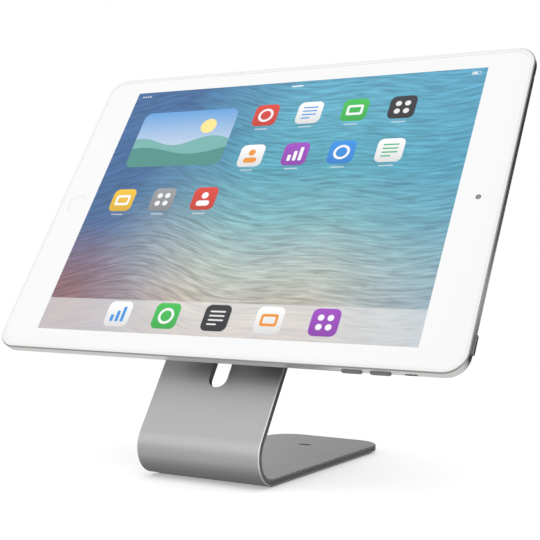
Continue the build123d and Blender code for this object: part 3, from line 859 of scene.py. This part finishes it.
def paint_tiles(tree, x, y, colour, first, columns, rows, pitch, seed, labels=0.5):
    """A grid of tiles with plain signs, over a colour. The first tile's middle is given."""
    step_x = calc(tree, "DIVIDE", calc(tree, "SUBTRACT", x, first[0] - pitch[0] / 2), pitch[0])
    step_y = calc(tree, "DIVIDE", calc(tree, "SUBTRACT", first[1] + pitch[1] / 2, y), pitch[1])
    column = calc(tree, "FLOOR", step_x)
    row = calc(tree, "FLOOR", step_y)
    across = calc(tree, "SUBTRACT", calc(tree, "SUBTRACT", step_x, column), 0.5)
    along = calc(tree, "SUBTRACT", 0.5, calc(tree, "SUBTRACT", step_y, row))
    tile_x = calc(tree, "MULTIPLY", across, pitch[0])
    tile_y = calc(tree, "MULTIPLY", along, pitch[1])
    centre = (first[0] + (columns - 1) * pitch[0] / 2, first[1] - (rows - 1) * pitch[1] / 2)
    field = box_mask(tree, x, y, columns * pitch[0] - 0.5, rows * pitch[1] - 0.5, 0.1, centre)
    number = calc(tree, "ADD", calc(tree, "ADD", column, calc(tree, "MULTIPLY", row, columns)), seed)
    kinds = len(tile_colours)
    kind = calc(tree, "ADD", calc(tree, "FLOORED_MODULO", number, kinds), 0.5)
    kind_share = calc(tree, "DIVIDE", kind, kinds)
    tint, mark = (
        ramp(tree, kind_share, [(index / kinds, stop) for index, stop in enumerate(stops)], "CONSTANT")
        for stops in zip(*tile_colours)
    )
    sheen = spread(tree, tile_y, -tile_side / 2, tile_side / 2, low=0.8, high=1.1)
    tint = scale_colour(tree, tint, sheen)
    signs = [ring_mask(tree, tile_x, tile_y, 4.2, 1.3)]
    for draw in (bars_mask, figure_mask, dots_mask, frame_mask, lines_mask):
        signs.append(draw(tree, tile_x, tile_y))
    turn = calc(tree, "FLOORED_MODULO", calc(tree, "MULTIPLY", number, 5), len(signs))
    sign = 0.0
    for index, mask in enumerate(signs):
        chosen = calc(tree, "COMPARE", turn, index, 0.3)
        sign = calc(tree, "ADD", sign, calc(tree, "MULTIPLY", mask, chosen))
    tile = blend_colour(tree, sign, tint, mark)
    tile_mask = box_mask(tree, tile_x, tile_y, tile_side, tile_side, tile_round)
    colour = blend_colour(tree, calc(tree, "MULTIPLY", tile_mask, field), colour, tile)
    label = box_mask(tree, tile_x, tile_y, 7.2, 0.7, 0.3, (0, -tile_side / 2 - 2.0))
    label = calc(tree, "MULTIPLY", calc(tree, "MULTIPLY", label, field), labels)
    return blend_colour(tree, label, colour, label_colour)


def status_mask(tree, x, y, edge, up):
    """The signs along the top: dots at the left, a short bar in the middle and a cell at the right."""
    mask = box_mask(tree, x, y, 6.5, 0.9, 0.4, (0, up))
    for step in range(4):
        mask = calc(tree, "ADD", mask, ring_mask(tree, x, y, 0.5, 0.5, (4 + 1.6 * step - edge, up)))
    hollow = box_mask(tree, x, y, 3.9, 1.5, 0.3, (edge - 5, up))
    case = calc(tree, "SUBTRACT", box_mask(tree, x, y, 4.4, 2.0, 0.5, (edge - 5, up)), hollow, clamp=True)
    charge = box_mask(tree, x, y, 2.4, 1.0, 0.2, (edge - 5.6, up))
    return calc(tree, "ADD", mask, calc(tree, "ADD", case, charge))


def paint_widget(tree, x, y, colour, centre, size):
    """A large panel with a sun over rows of hills, each with its level, length, shift and colour."""
    width, height = size
    panel = box_mask(tree, x, y, width, height, 4.5, centre)
    sky = spread(tree, calc(tree, "SUBTRACT", y, centre[1]), -height / 2, height / 2)
    picture = ramp(tree, sky, sky_colours)
    sun = ring_mask(tree, x, y, 4.6, 4.6, (centre[0] + width * 0.24, centre[1] + height * 0.2))
    picture = blend_colour(tree, sun, picture, sun_colour)
    for level, length, shift, tint in hills:
        crest = calc(tree, "ADD", wave(tree, x, length, 2.6, shift), centre[1] + level * height)
        hill = spread(tree, calc(tree, "SUBTRACT", crest, y), -mask_fade, mask_fade)
        picture = blend_colour(tree, hill, picture, tint)
    return blend_colour(tree, panel, colour, picture)


def make_screen_finish():
    """The lit picture under the clear gloss of the glass."""
    material, tree, shader = finish(
        "screen_picture", Base_Color=screen_dark, IOR=1.4, Emission_Strength=screen_glow,
    )
    x, y = screen_axes(tree)
    colour = paint_folds(tree, x, y)
    colour = paint_widget(tree, x, y, colour, (-half_length + 40, half_height - 33), (58, 36))
    colour = paint_tiles(tree, x, y, colour, (-half_length + 86, half_height - 21), 4, 2, tile_pitch, 0)
    colour = paint_tiles(tree, x, y, colour, (-half_length + 19, half_height - 72), 3, 1, tile_pitch, 8)
    dock = box_mask(tree, x, y, 2 * half_length + 1, dock_height, 0.1, (0, -half_height + dock_height / 2))
    colour = blend_colour(tree, calc(tree, "MULTIPLY", dock, 0.5), colour, dock_colour)
    colour = paint_tiles(tree, x, y, colour, (-54, -half_height + 9.6), 5, 1, dock_pitch, 11, labels=0.0)
    status = status_mask(tree, x, y, half_length, half_height - 3)
    colour = blend_colour(tree, calc(tree, "MULTIPLY", status, 0.85), colour, status_colour)
    tree.links.new(colour, shader.inputs["Emission Color"])
    add_smears(tree, shader, screen_roughness)
    return material


screen_depth = glass_thickness + display_thickness
screen = rounded_block("screen_picture", (window_length, window_height, screen_depth))
settle(screen, glass_place)
dress(screen, make_screen_finish())
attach(screen, "root")
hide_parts("display_panel")
dress(nodes["backlight_tray"], machined("tray_steel", (0.5, 0.5, 0.5, 1), roughness=0.35))

# Home button
# A round cap moulded in white plastic with a shallow dish, flush with the glass. A flange under the glass
# keeps it in, and a dome switch sits behind it on a steel strap.
home_radius = 5.29 * mm
home_steps = 72
home_sink = 0.05 * mm
home_edge_width = 0.15 * mm
home_rim_width = 0.5 * mm
home_dish_depth = 0.12 * mm
home_dish_step = 0.7 * mm
home_dish_shares = (0.4, 0.25, 0.16, 0.1, 0.06, 0.03)
home_depth = 0.86 * mm
home_flange_radius = 6.4 * mm
home_flange_thickness = 0.5 * mm
home_colour = (0.92, 0.92, 0.92, 1)
switch_colour = (0.05, 0.13, 0.07, 1)
strap_colour = (0.55, 0.55, 0.55, 1)


def build_home_cap():
    """Inset a disc for its rim and for a dish that deepens to the middle, and draw out the flange below."""
    cap = start_piece(
        "home_cap", bpy.ops.mesh.primitive_circle_add, vertices=home_steps, radius=home_radius,
        fill_type="NGON",
    )
    shape(cap)
    bpy.ops.mesh.select_all(action="SELECT")
    bpy.ops.mesh.normals_make_consistent(inside=False)
    bpy.ops.mesh.inset(thickness=home_edge_width, depth=0)
    bpy.ops.mesh.inset(thickness=home_rim_width, depth=0)
    for share in home_dish_shares:
        bpy.ops.mesh.inset(thickness=home_dish_step, depth=-home_dish_depth * share)
    pick(cap, "EDGE", lambda middle, way: middle.xy.length > home_radius - 0.02 * mm and abs(way.z) < 0.1)
    bpy.ops.mesh.select_mode(type="EDGE")
    bpy.ops.mesh.extrude_region_move(TRANSFORM_OT_translate={"value": (0, 0, -home_depth)})
    flange_share = home_flange_radius / home_radius
    bpy.ops.mesh.extrude_region_move()
    bpy.ops.transform.resize(value=(flange_share, flange_share, 1), center_override=(0, 0, 0))
    bpy.ops.mesh.extrude_region_move(TRANSFORM_OT_translate={"value": (0, 0, -home_flange_thickness)})
    bpy.ops.mesh.edge_face_add()
    bpy.ops.mesh.select_all(action="SELECT")
    bpy.ops.mesh.normals_make_consistent(inside=False)
    close_shape()
    settle(cap, glass_place @ Matrix.Translation((home_along, 0, -home_sink)))
    smooth(cap, angle=30)
    return cap


home_cap = build_home_cap()
home_finish = moulded(
    "home_plastic", home_colour, roughness=0.16, grain_size=3 * mm, depth=0.0, Coat_Weight=0.4,
)
dress(home_cap, home_finish)
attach(home_cap, "home_button")
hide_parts("home_button")
switch_finish = moulded("switch_plastic", switch_colour, roughness=0.5, grain_size=0.3 * mm, depth=0.03 * mm)
sheet_steel = machined("sheet_steel", strap_colour, roughness=0.35)
dress(nodes["home_switch"], switch_finish)
dress(nodes["home_strap"], sheet_steel)

# Cameras
# The front camera is a small lens behind the clear spot in the glass. The rear one sits in a polished ring
# in the back, under a clear disc.
front_rim_tint = (0.13, 0.13, 0.135)
front_lens_tint = (0.3, 0.3, 0.31)
rear_rim_tint = (0.008, 0.01, 0.016)
rear_lens_tint = (0.03, 0.05, 0.11)
lens_sink = 0.05 * mm
lens_flat_width = 0.45 * camera_hole_radius
lens_ring_width = 0.12 * camera_hole_radius
lens_ring_drop = 0.12 * mm
lens_dome_width = 0.1 * camera_hole_radius
lens_dome_rises = (0.03 * mm, 0.02 * mm, 0.01 * mm)
lens_depth = 0.6 * glass_thickness
lens_steps = 48
lens_haze_scale = 900.0
lens_haze_share = 0.3
camera_colour = (0.02, 0.02, 0.02, 1)
ring_colour = (0.7, 0.7, 0.71, 1)


def build_front_lens():
    """A flat disc that fills the clear spot, with the lens's sunk ring and domed glass in its middle."""
    lens = start_piece(
        "front_lens", bpy.ops.mesh.primitive_circle_add, vertices=lens_steps, radius=camera_hole_radius,
        fill_type="NGON",
    )
    shape(lens)
    bpy.ops.mesh.select_all(action="SELECT")
    bpy.ops.mesh.inset(thickness=lens_flat_width, depth=0)
    bpy.ops.mesh.inset(thickness=lens_ring_width, depth=-lens_ring_drop)
    for rise in lens_dome_rises:
        bpy.ops.mesh.inset(thickness=lens_dome_width, depth=rise)
    close_shape()
    add_modifier(lens, "SOLIDIFY", thickness=lens_depth, offset=-1)
    settle(lens, glass_place @ Matrix.Translation((-home_along, 0, -lens_sink)))
    smooth(lens, angle=40)
    return lens


def make_lens_finish(name, middle, reach, rim_tint, middle_tint):
    """Lens glass whose tint fades from its middle to its rim."""
    material, tree, shader = finish(name, Roughness=0.06, Coat_Weight=1.0, Coat_Roughness=0.02)
    offset = measure(tree, "DISTANCE", object_place(tree), middle)
    haze = noise(tree, object_place(tree), lens_haze_scale, 2.0)
    share = calc(tree, "DIVIDE", offset, reach)
    edge = calc(tree, "ADD", share, calc(tree, "MULTIPLY", haze, lens_haze_share))
    colour = ramp(tree, edge, [(0.0, middle_tint), (0.5, middle_tint), (0.75, rim_tint), (1.0, rim_tint)])
    tree.links.new(colour, shader.inputs["Base Color"])
    return material


front_middle = glass_place @ Vector((-home_along, 0, 0))
front_finish = make_lens_finish(
    "front_lens_glass", front_middle, camera_hole_radius, front_rim_tint, front_lens_tint,
)
front_lens = build_front_lens()
dress(front_lens, front_finish)
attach(front_lens, "root")
camera_finish = moulded("camera_black", camera_colour, roughness=0.4, grain_size=0.3 * mm, depth=0.02 * mm)
dress(nodes["front_camera"], camera_finish)
dress(nodes["rear_camera"], camera_finish)
disc_low, disc_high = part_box("rear_camera_window")
disc_middle = (disc_low + disc_high) / 2
disc_radius = (disc_high.x - disc_low.x) / 2
disc_finish = make_lens_finish("rear_lens_glass", disc_middle, disc_radius, rear_rim_tint, rear_lens_tint)
dress(nodes["rear_camera_window"], disc_finish)
camera_trim = smooth_copy("rear_camera_trim", "camera_trim")
dress(camera_trim, machined("polished_aluminium", ring_colour, roughness=0.12))
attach(camera_trim, "root")

# Buttons in the tablet's edges
# Machined from the casing's aluminium and blasted like it: two volume buttons and a slide switch below, and
# the power button at the right. Small boards behind the wall carry their switches.
# The buttons are coloured much darker than the casing.
button_colour = (0.24, 0.236, 0.232, 1)
button_roughness = 0.4
button_finish = blasted_metal(
    "button_aluminium", button_colour, button_roughness, casing_grain, casing_grain_depth,
)
for node, body in (("volume_up_button", "volume_up"), ("volume_down_button", "volume_down"),
                   ("side_switch", "mute_switch"), ("power_button", "power")):
    key = smooth_copy(node, node.replace("button", "key").replace("switch", "slider"))
    dress(key, button_finish)
    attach(key, body)
dress(nodes["volume_switch_board"], switch_finish)
dress(nodes["power_switch_board"], switch_finish)

# Port, speakers, socket and microphone
# A steel-shelled charging port, two moulded speaker boxes behind long slots, a moulded headphone socket and
# a microphone can, all held behind the casing's wall.
module_colour = (0.03, 0.03, 0.032, 1)
port_colour = (0.5, 0.5, 0.5, 1)
mesh_colour = (0.12, 0.12, 0.125, 1)
slot_from_front = 4.4 * mm
slot_from_middle = 37 * mm
mesh_length = 20.6 * mm
mesh_width = 1.44 * mm
mesh_columns = 28
mesh_rows = 2
mesh_web = 0.13 * mm
mesh_sink = 0.45 * mm
mesh_thickness = 0.2 * mm
module_finish = moulded("module_plastic", module_colour, roughness=0.5, grain_size=0.4 * mm, depth=0.03 * mm)
dress(nodes["charging_port"], machined("port_steel", port_colour, roughness=0.3))
dress(nodes["speakers"], module_finish)
dress(nodes["headphone_jack"], module_finish)
dress(nodes["microphone"], sheet_steel)


def build_speaker_mesh(name, side):
    """A pressed sheet with two rows of holes that closes a speaker slot from inside."""
    sheet = start_piece(
        name, bpy.ops.mesh.primitive_grid_add, x_subdivisions=mesh_columns, y_subdivisions=mesh_rows, size=1,
    )
    shape(sheet)
    bpy.ops.mesh.select_all(action="SELECT")
    bpy.ops.transform.resize(value=(mesh_length, mesh_width, 1))
    bpy.ops.mesh.inset(thickness=mesh_web, use_individual=True)
    bpy.ops.mesh.delete(type="ONLY_FACE")
    close_shape()
    add_modifier(sheet, "SOLIDIFY", thickness=mesh_thickness, offset=-1)
    casing_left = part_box("rear_shell")[0].x
    front = glass_middle + glass_normal * glass_thickness / 2
    middle = front - glass_normal * slot_from_front + up_panel * side * slot_from_middle
    middle.x = casing_left + mesh_sink
    turn = Matrix((up_panel, glass_normal, (-1, 0, 0))).transposed().to_4x4()
    settle(sheet, Matrix.Translation(middle) @ turn)
    return sheet


mesh_finish = machined("mesh_steel", mesh_colour, roughness=0.4)
for side, name in ((-1, "speaker_mesh_low"), (1, "speaker_mesh_high")):
    sheet = build_speaker_mesh(name, side)
    dress(sheet, mesh_finish)
    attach(sheet, "root")

# Cells, board and aerials
# Three foil pouch cells, a printed board with cans over its chips, a ribbon to the display and two aerial
# modules. They lie on the casing's floor, out of sight.
cell_colour = (0.06, 0.06, 0.065, 1)
board_colour = (0.02, 0.06, 0.10, 1)
ribbon_colour = (0.30, 0.13, 0.03, 1)
can_colour = (0.6, 0.6, 0.6, 1)
cell_finish = moulded("cell_foil", cell_colour, roughness=0.35, grain_size=1.5 * mm, depth=0.05 * mm)
board_finish = moulded("board_laminate", board_colour, roughness=0.4, grain_size=0.6 * mm, depth=0.03 * mm)
ribbon_finish = moulded("flex_film", ribbon_colour, roughness=0.3, grain_size=0.8 * mm, depth=0.02 * mm)
dress(nodes["battery_cells"], cell_finish)
dress(nodes["logic_board"], board_finish)
dress(nodes["display_flex"], ribbon_finish)
dress(nodes["shield_cans"], machined("can_steel", can_colour, roughness=0.3))
dress(nodes["antenna_modules"], module_finish)

# Studio
# A plain floor that turns white further out, one large soft lamp low at the front left, and the camera. In
# reflections the surround is pale, with a dark zone behind and to the right, as card and cloth would give.
floor_half = 6.0
floor_colour = (0.9, 0.9, 0.9, 1)
floor_glow = 0.3
floor_lit_reach = 0.12
floor_white_reach = 0.55
white = (1, 1, 1, 1)
dark_spot = (0.5, 0.6, 0)
dark_spot_reach = 0.57
pale_floor_reach = 0.7
dark_tone = 0.03
pale_tone = 0.76
contact_shadow_tone = 0.3
contact_near = 2 * mm
contact_far = 22 * mm
dark_way = (0.45, 0.92, -0.4)
pale_limit = 0.25
dark_limit = 0.6
pale_glow = 1.0
dark_glow = 0.03
matt_glow = 1.0
lamp_power = 1.8
lamp_size = 1.2
lamp_place = Vector((-0.7, -1.5, 0.8))
lamp_aim = Vector((0, 0, 0.1))
camera_turn = math.radians(29.31)
camera_tilt = math.radians(0.2)
camera_roll = math.radians(0.73)
camera_distance = 551.3 * mm
camera_aim = Vector((-1.65, 0, 95.15)) * mm
picture_size = 540
focal_pixels = 1127.8
optic_middle = (276.2, 265.9)


def make_floor():
    """The floor: lit near the object, so that it takes a shadow, and white to the camera further out."""
    floor = start_piece("floor", bpy.ops.mesh.primitive_plane_add, size=2 * floor_half)
    material, tree, shader = finish("floor", Base_Color=floor_colour, Roughness=0.9, Specular_IOR_Level=0.0)
    path = put(tree, "ShaderNodeLightPath").outputs
    seen = calc(tree, "MAXIMUM", path["Is Camera Ray"], path["Is Transmission Ray"])
    out_from_middle = measure(tree, "LENGTH", object_place(tree))
    away = measure(tree, "DISTANCE", object_place(tree), dark_spot)
    tone = spread(tree, away, dark_spot_reach, pale_floor_reach, dark_tone, pale_tone)
    # Painted contact shadow: in reflections the floor is darker where the ray to it is short, close to
    # whatever stands on it.
    contact = spread(tree, path["Ray Length"], contact_near, contact_far, contact_shadow_tone, 1.0)

    def glow(strength):
        """A white glow of a strength."""
        return put(tree, "ShaderNodeEmission", {"Color": white, "Strength": strength}).outputs[0]

    def either(share, first, second):
        """The first surface, and the second by a share."""
        return put(tree, "ShaderNodeMixShader", {"Fac": share, 1: first, 2: second}).outputs[0]

    lifted = glow(calc(tree, "MULTIPLY", seen, floor_glow))
    near = put(tree, "ShaderNodeAddShader", {0: shader.outputs[0], 1: lifted}).outputs[0]
    far = spread(tree, out_from_middle, floor_lit_reach, floor_white_reach)
    direct = either(calc(tree, "MULTIPLY", far, seen), near, glow(1.0))
    mirrored = glow(calc(tree, "MULTIPLY", tone, contact))
    surface = either(path["Is Glossy Ray"], direct, mirrored)
    tree.links.new(surface, tree.nodes["Material Output"].inputs["Surface"])
    dress(floor, material)
    return floor


def make_world():
    """White to the camera, a plain soft light on matt surfaces, and pale with a dark zone in reflections."""
    world = bpy.data.worlds.new("studio")
    bpy.context.scene.world = world
    world.use_nodes = True
    tree = world.node_tree
    path = put(tree, "ShaderNodeLightPath").outputs
    way = measure(tree, "DOT_PRODUCT", put(tree, "ShaderNodeTexCoord").outputs["Generated"], dark_way)
    sky = spread(tree, way, pale_limit, dark_limit, pale_glow, dark_glow)
    glossy = calc(tree, "MULTIPLY", path["Is Glossy Ray"], sky)
    seen = calc(tree, "MAXIMUM", path["Is Camera Ray"], path["Is Transmission Ray"])
    plain = calc(tree, "SUBTRACT", 1.0, calc(tree, "ADD", seen, path["Is Glossy Ray"], clamp=True))
    matt = calc(tree, "MULTIPLY", plain, matt_glow)
    background = tree.nodes["Background"]
    background.inputs["Color"].default_value = white
    strength = calc(tree, "ADD", calc(tree, "ADD", glossy, seen), matt)
    tree.links.new(strength, background.inputs["Strength"])


def make_lamp():
    """One large soft lamp that looks at the object."""
    bpy.ops.object.light_add(type="AREA", location=lamp_place)
    lamp = bpy.context.object
    lamp.name = "soft_lamp"
    lamp.data.size = lamp_size
    lamp.data.energy = lamp_power
    lamp.rotation_euler = (lamp_aim - lamp_place).to_track_quat("-Z", "Y").to_euler()


def make_camera():
    """The camera at the photograph's viewing angle."""
    bpy.ops.object.camera_add()
    camera = bpy.context.object
    turn = Matrix.Rotation(camera_turn, 4, "Z") @ Matrix.Rotation(math.radians(90) - camera_tilt, 4, "X")
    turn = turn @ Matrix.Rotation(camera_roll, 4, "Z")
    camera.matrix_world = Matrix.Translation(camera_aim) @ turn @ Matrix.Translation((0, 0, camera_distance))
    camera.data.lens = focal_pixels / picture_size * camera.data.sensor_width
    camera.data.shift_x = 0.5 - optic_middle[0] / picture_size
    camera.data.shift_y = optic_middle[1] / picture_size - 0.5
    bpy.context.scene.camera = camera


make_floor()
make_world()
make_lamp()
make_camera()
bpy.context.scene.view_settings.view_transform = "Standard"
